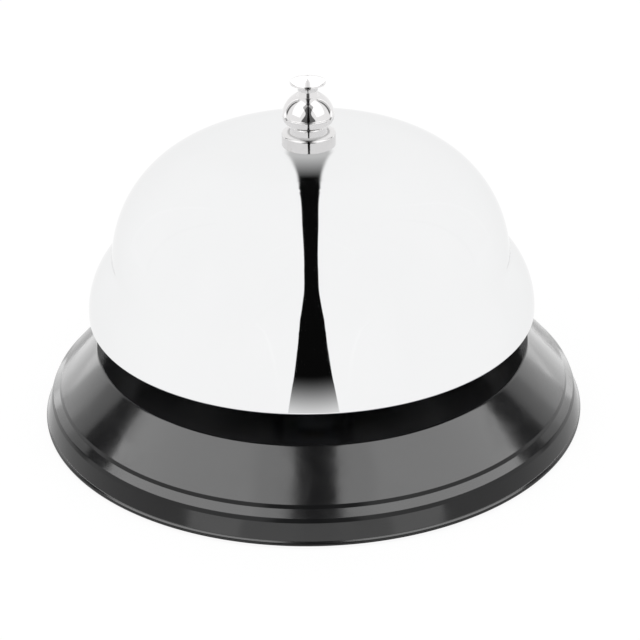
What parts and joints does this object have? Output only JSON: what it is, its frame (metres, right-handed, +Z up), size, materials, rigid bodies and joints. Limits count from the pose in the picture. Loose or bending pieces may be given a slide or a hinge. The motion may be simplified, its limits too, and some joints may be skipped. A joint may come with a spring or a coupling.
{
  "type": "service bell",
  "caption": "Counter service bell: chrome stepped gong on a hollow post over a black enamelled round base, with a sprung button that swings a hammer.",
  "frame": {"origin": "centre of the base, on the surface that the bell stands on", "axes": "+Z up along the gong's axis; +Y towards the hammer; +X along the hammer's pivot pin"},
  "size_m": [0.0876, 0.0876, 0.0561],
  "materials": {
    "black_enamel": "gloss",
    "chrome": "polished",
    "zinc_plate": "satin",
    "turned_steel": "satin",
    "spring_steel": "satin",
    "brass": "satin",
    "fibre": "matte",
    "foam": "matte"
  },
  "bodies": {
    "bell": {"base_cover": "black_enamel", "base_plate": "zinc_plate", "non_slip_ring": "foam", "base_pillars": "zinc_plate", "plate_screws": "zinc_plate", "frame_nuts": "zinc_plate", "mechanism_frame": "zinc_plate", "centre_post": "turned_steel", "post_nut": "zinc_plate", "post_lock_washer": "spring_steel", "lower_bush": "brass", "seat_washer": "fibre", "gong": "chrome", "top_washer": "fibre", "collar_nut": "chrome", "ball_guide": "chrome", "return_spring": "spring_steel", "pivot_pin": "turned_steel", "pivot_clip": "spring_steel", "pivot_spacers": "brass"},
    "plunger": {"plunger_button": "chrome", "plunger_rod": "turned_steel", "rod_clip": "spring_steel", "spring_washer": "zinc_plate"},
    "hammer": {"hammer_arm": "zinc_plate", "hammer_head": "brass", "head_screw": "zinc_plate"}
  },
  "joints": [
    {"name": "plunger_press", "type": "slide", "parent": "bell", "child": "plunger", "axis": [0, 0, -1], "range_m": [0, 0.0011], "stiffness_N_per_m": 300, "springref_m": -0.004, "deforming": ["return_spring"]},
    {"name": "hammer_swing", "type": "hinge", "parent": "bell", "child": "hammer", "pos_m": [0, 0.0052, 0.0281], "axis": [1, 0, 0], "range_deg": [0, 12.08]}
  ],
  "couplings": [
    {"joint": "hammer_swing", "follows": "plunger_press", "rad_per_m": 191.5}
  ]
}
